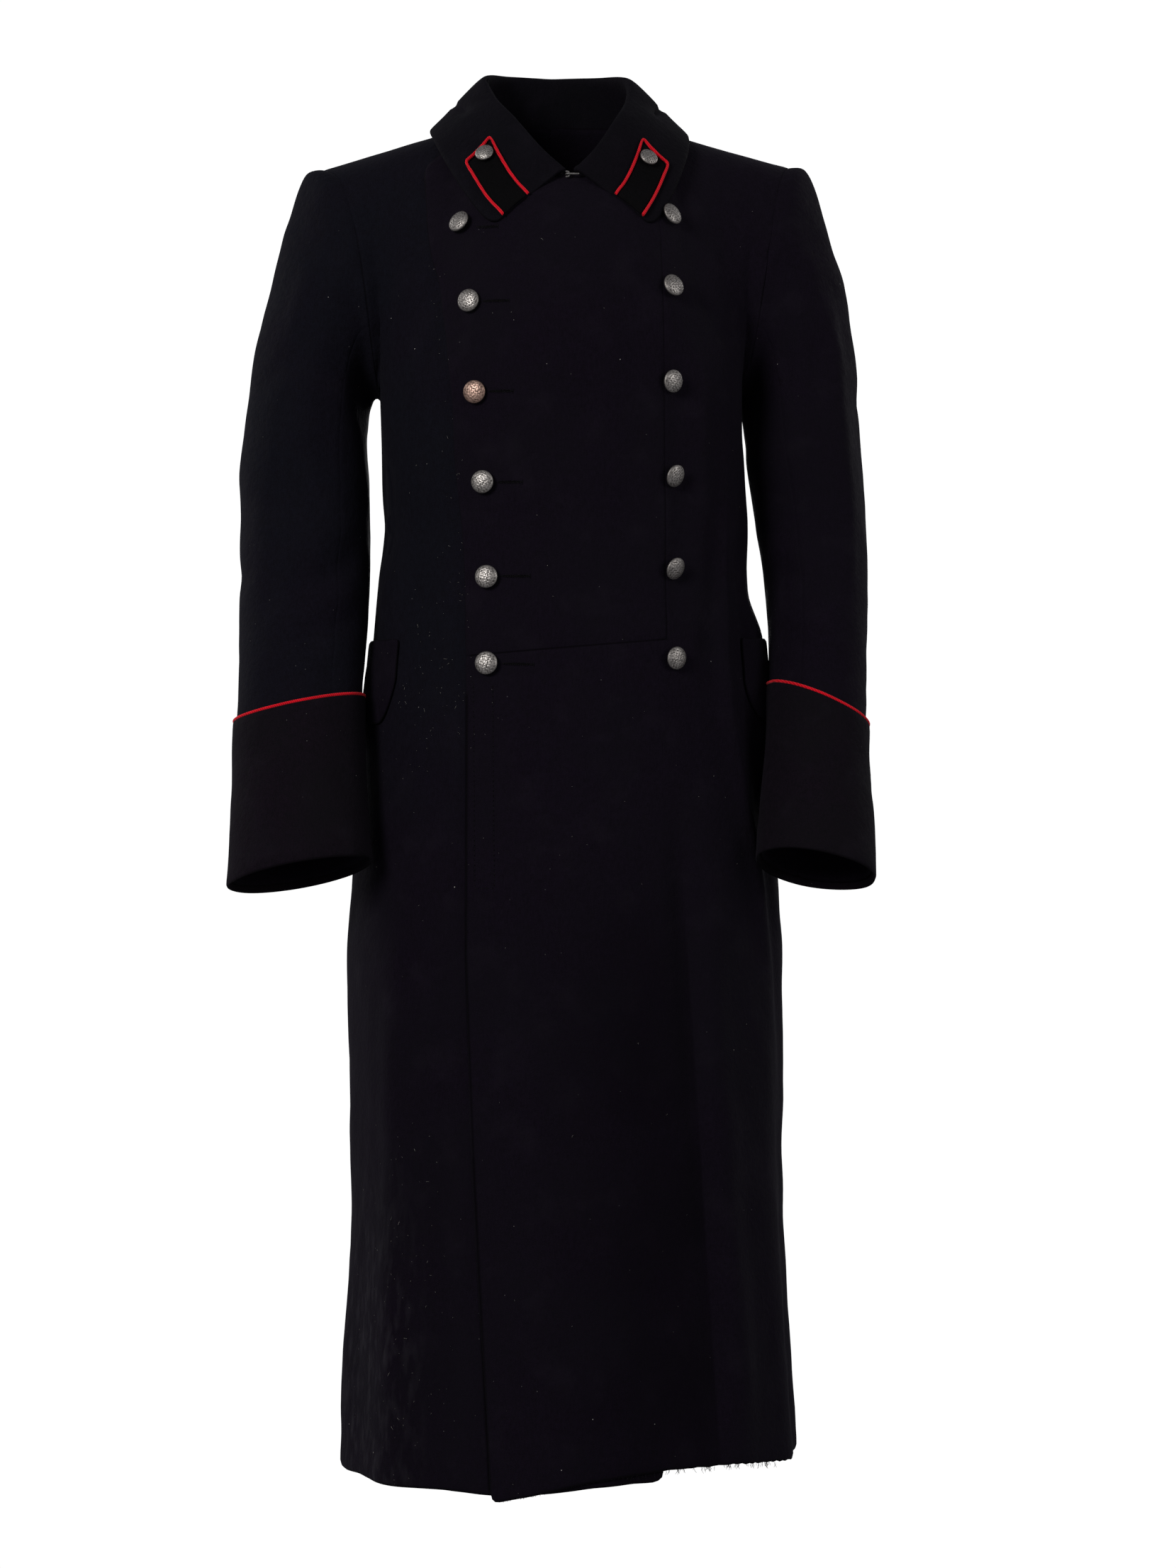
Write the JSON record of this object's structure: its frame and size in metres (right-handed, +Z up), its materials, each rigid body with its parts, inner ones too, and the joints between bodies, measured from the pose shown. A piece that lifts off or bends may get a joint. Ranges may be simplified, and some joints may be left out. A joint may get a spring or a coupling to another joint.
{
  "type": "military greatcoat",
  "caption": "Long double-breasted greatcoat, worn and hollow, with a turned-down collar with piped tabs, a buttoned chest panel, hip pocket flaps and deep piped cuffs.",
  "frame": {"origin": "middle of the base of the neck, level with the inner ends of the shoulder seams, where the worn coat is carried", "axes": "+Z up, -Y the way the coat faces, +X the wearer's left"},
  "size_m": [0.5745, 0.3758, 1.2364],
  "materials": {
    "black_wool": "felted heavy wool, matt",
    "black_velvet": "short pile, matt",
    "red_piping": "wool cord, matt",
    "pewter": "worn white metal, satin",
    "brass": "tarnished, satin",
    "dark_steel": "blackened wire"
  },
  "bodies": {
    "root": {"front_right": "black_wool", "front_left": "black_wool", "plastron": "black_wool", "back_left": "black_wool", "back_right": "black_wool", "sleeve_upper_left": "black_wool", "sleeve_upper_right": "black_wool", "sleeve_under_left": "black_wool", "sleeve_under_right": "black_wool", "cuff_left": "black_wool", "cuff_right": "black_wool", "collar": "black_wool", "pocket_flap_left": "black_wool", "pocket_flap_right": "black_wool", "collar_tab_left": "black_velvet", "collar_tab_right": "black_velvet", "cuff_piping_left": "red_piping", "cuff_piping_right": "red_piping", "tab_piping_left": "red_piping", "tab_piping_right": "red_piping", "button_left_1": "pewter", "button_left_2": "pewter", "button_left_3": "pewter", "button_left_4": "pewter", "button_left_5": "pewter", "button_left_6": "pewter", "button_right_1": "pewter", "button_right_2": "pewter", "button_right_4": "pewter", "button_right_5": "pewter", "button_right_6": "pewter", "button_collar_left": "pewter", "button_collar_right": "pewter", "button_right_3": "brass", "collar_hook": "dark_steel", "collar_eye": "dark_steel"}
  },
  "joints": []
}
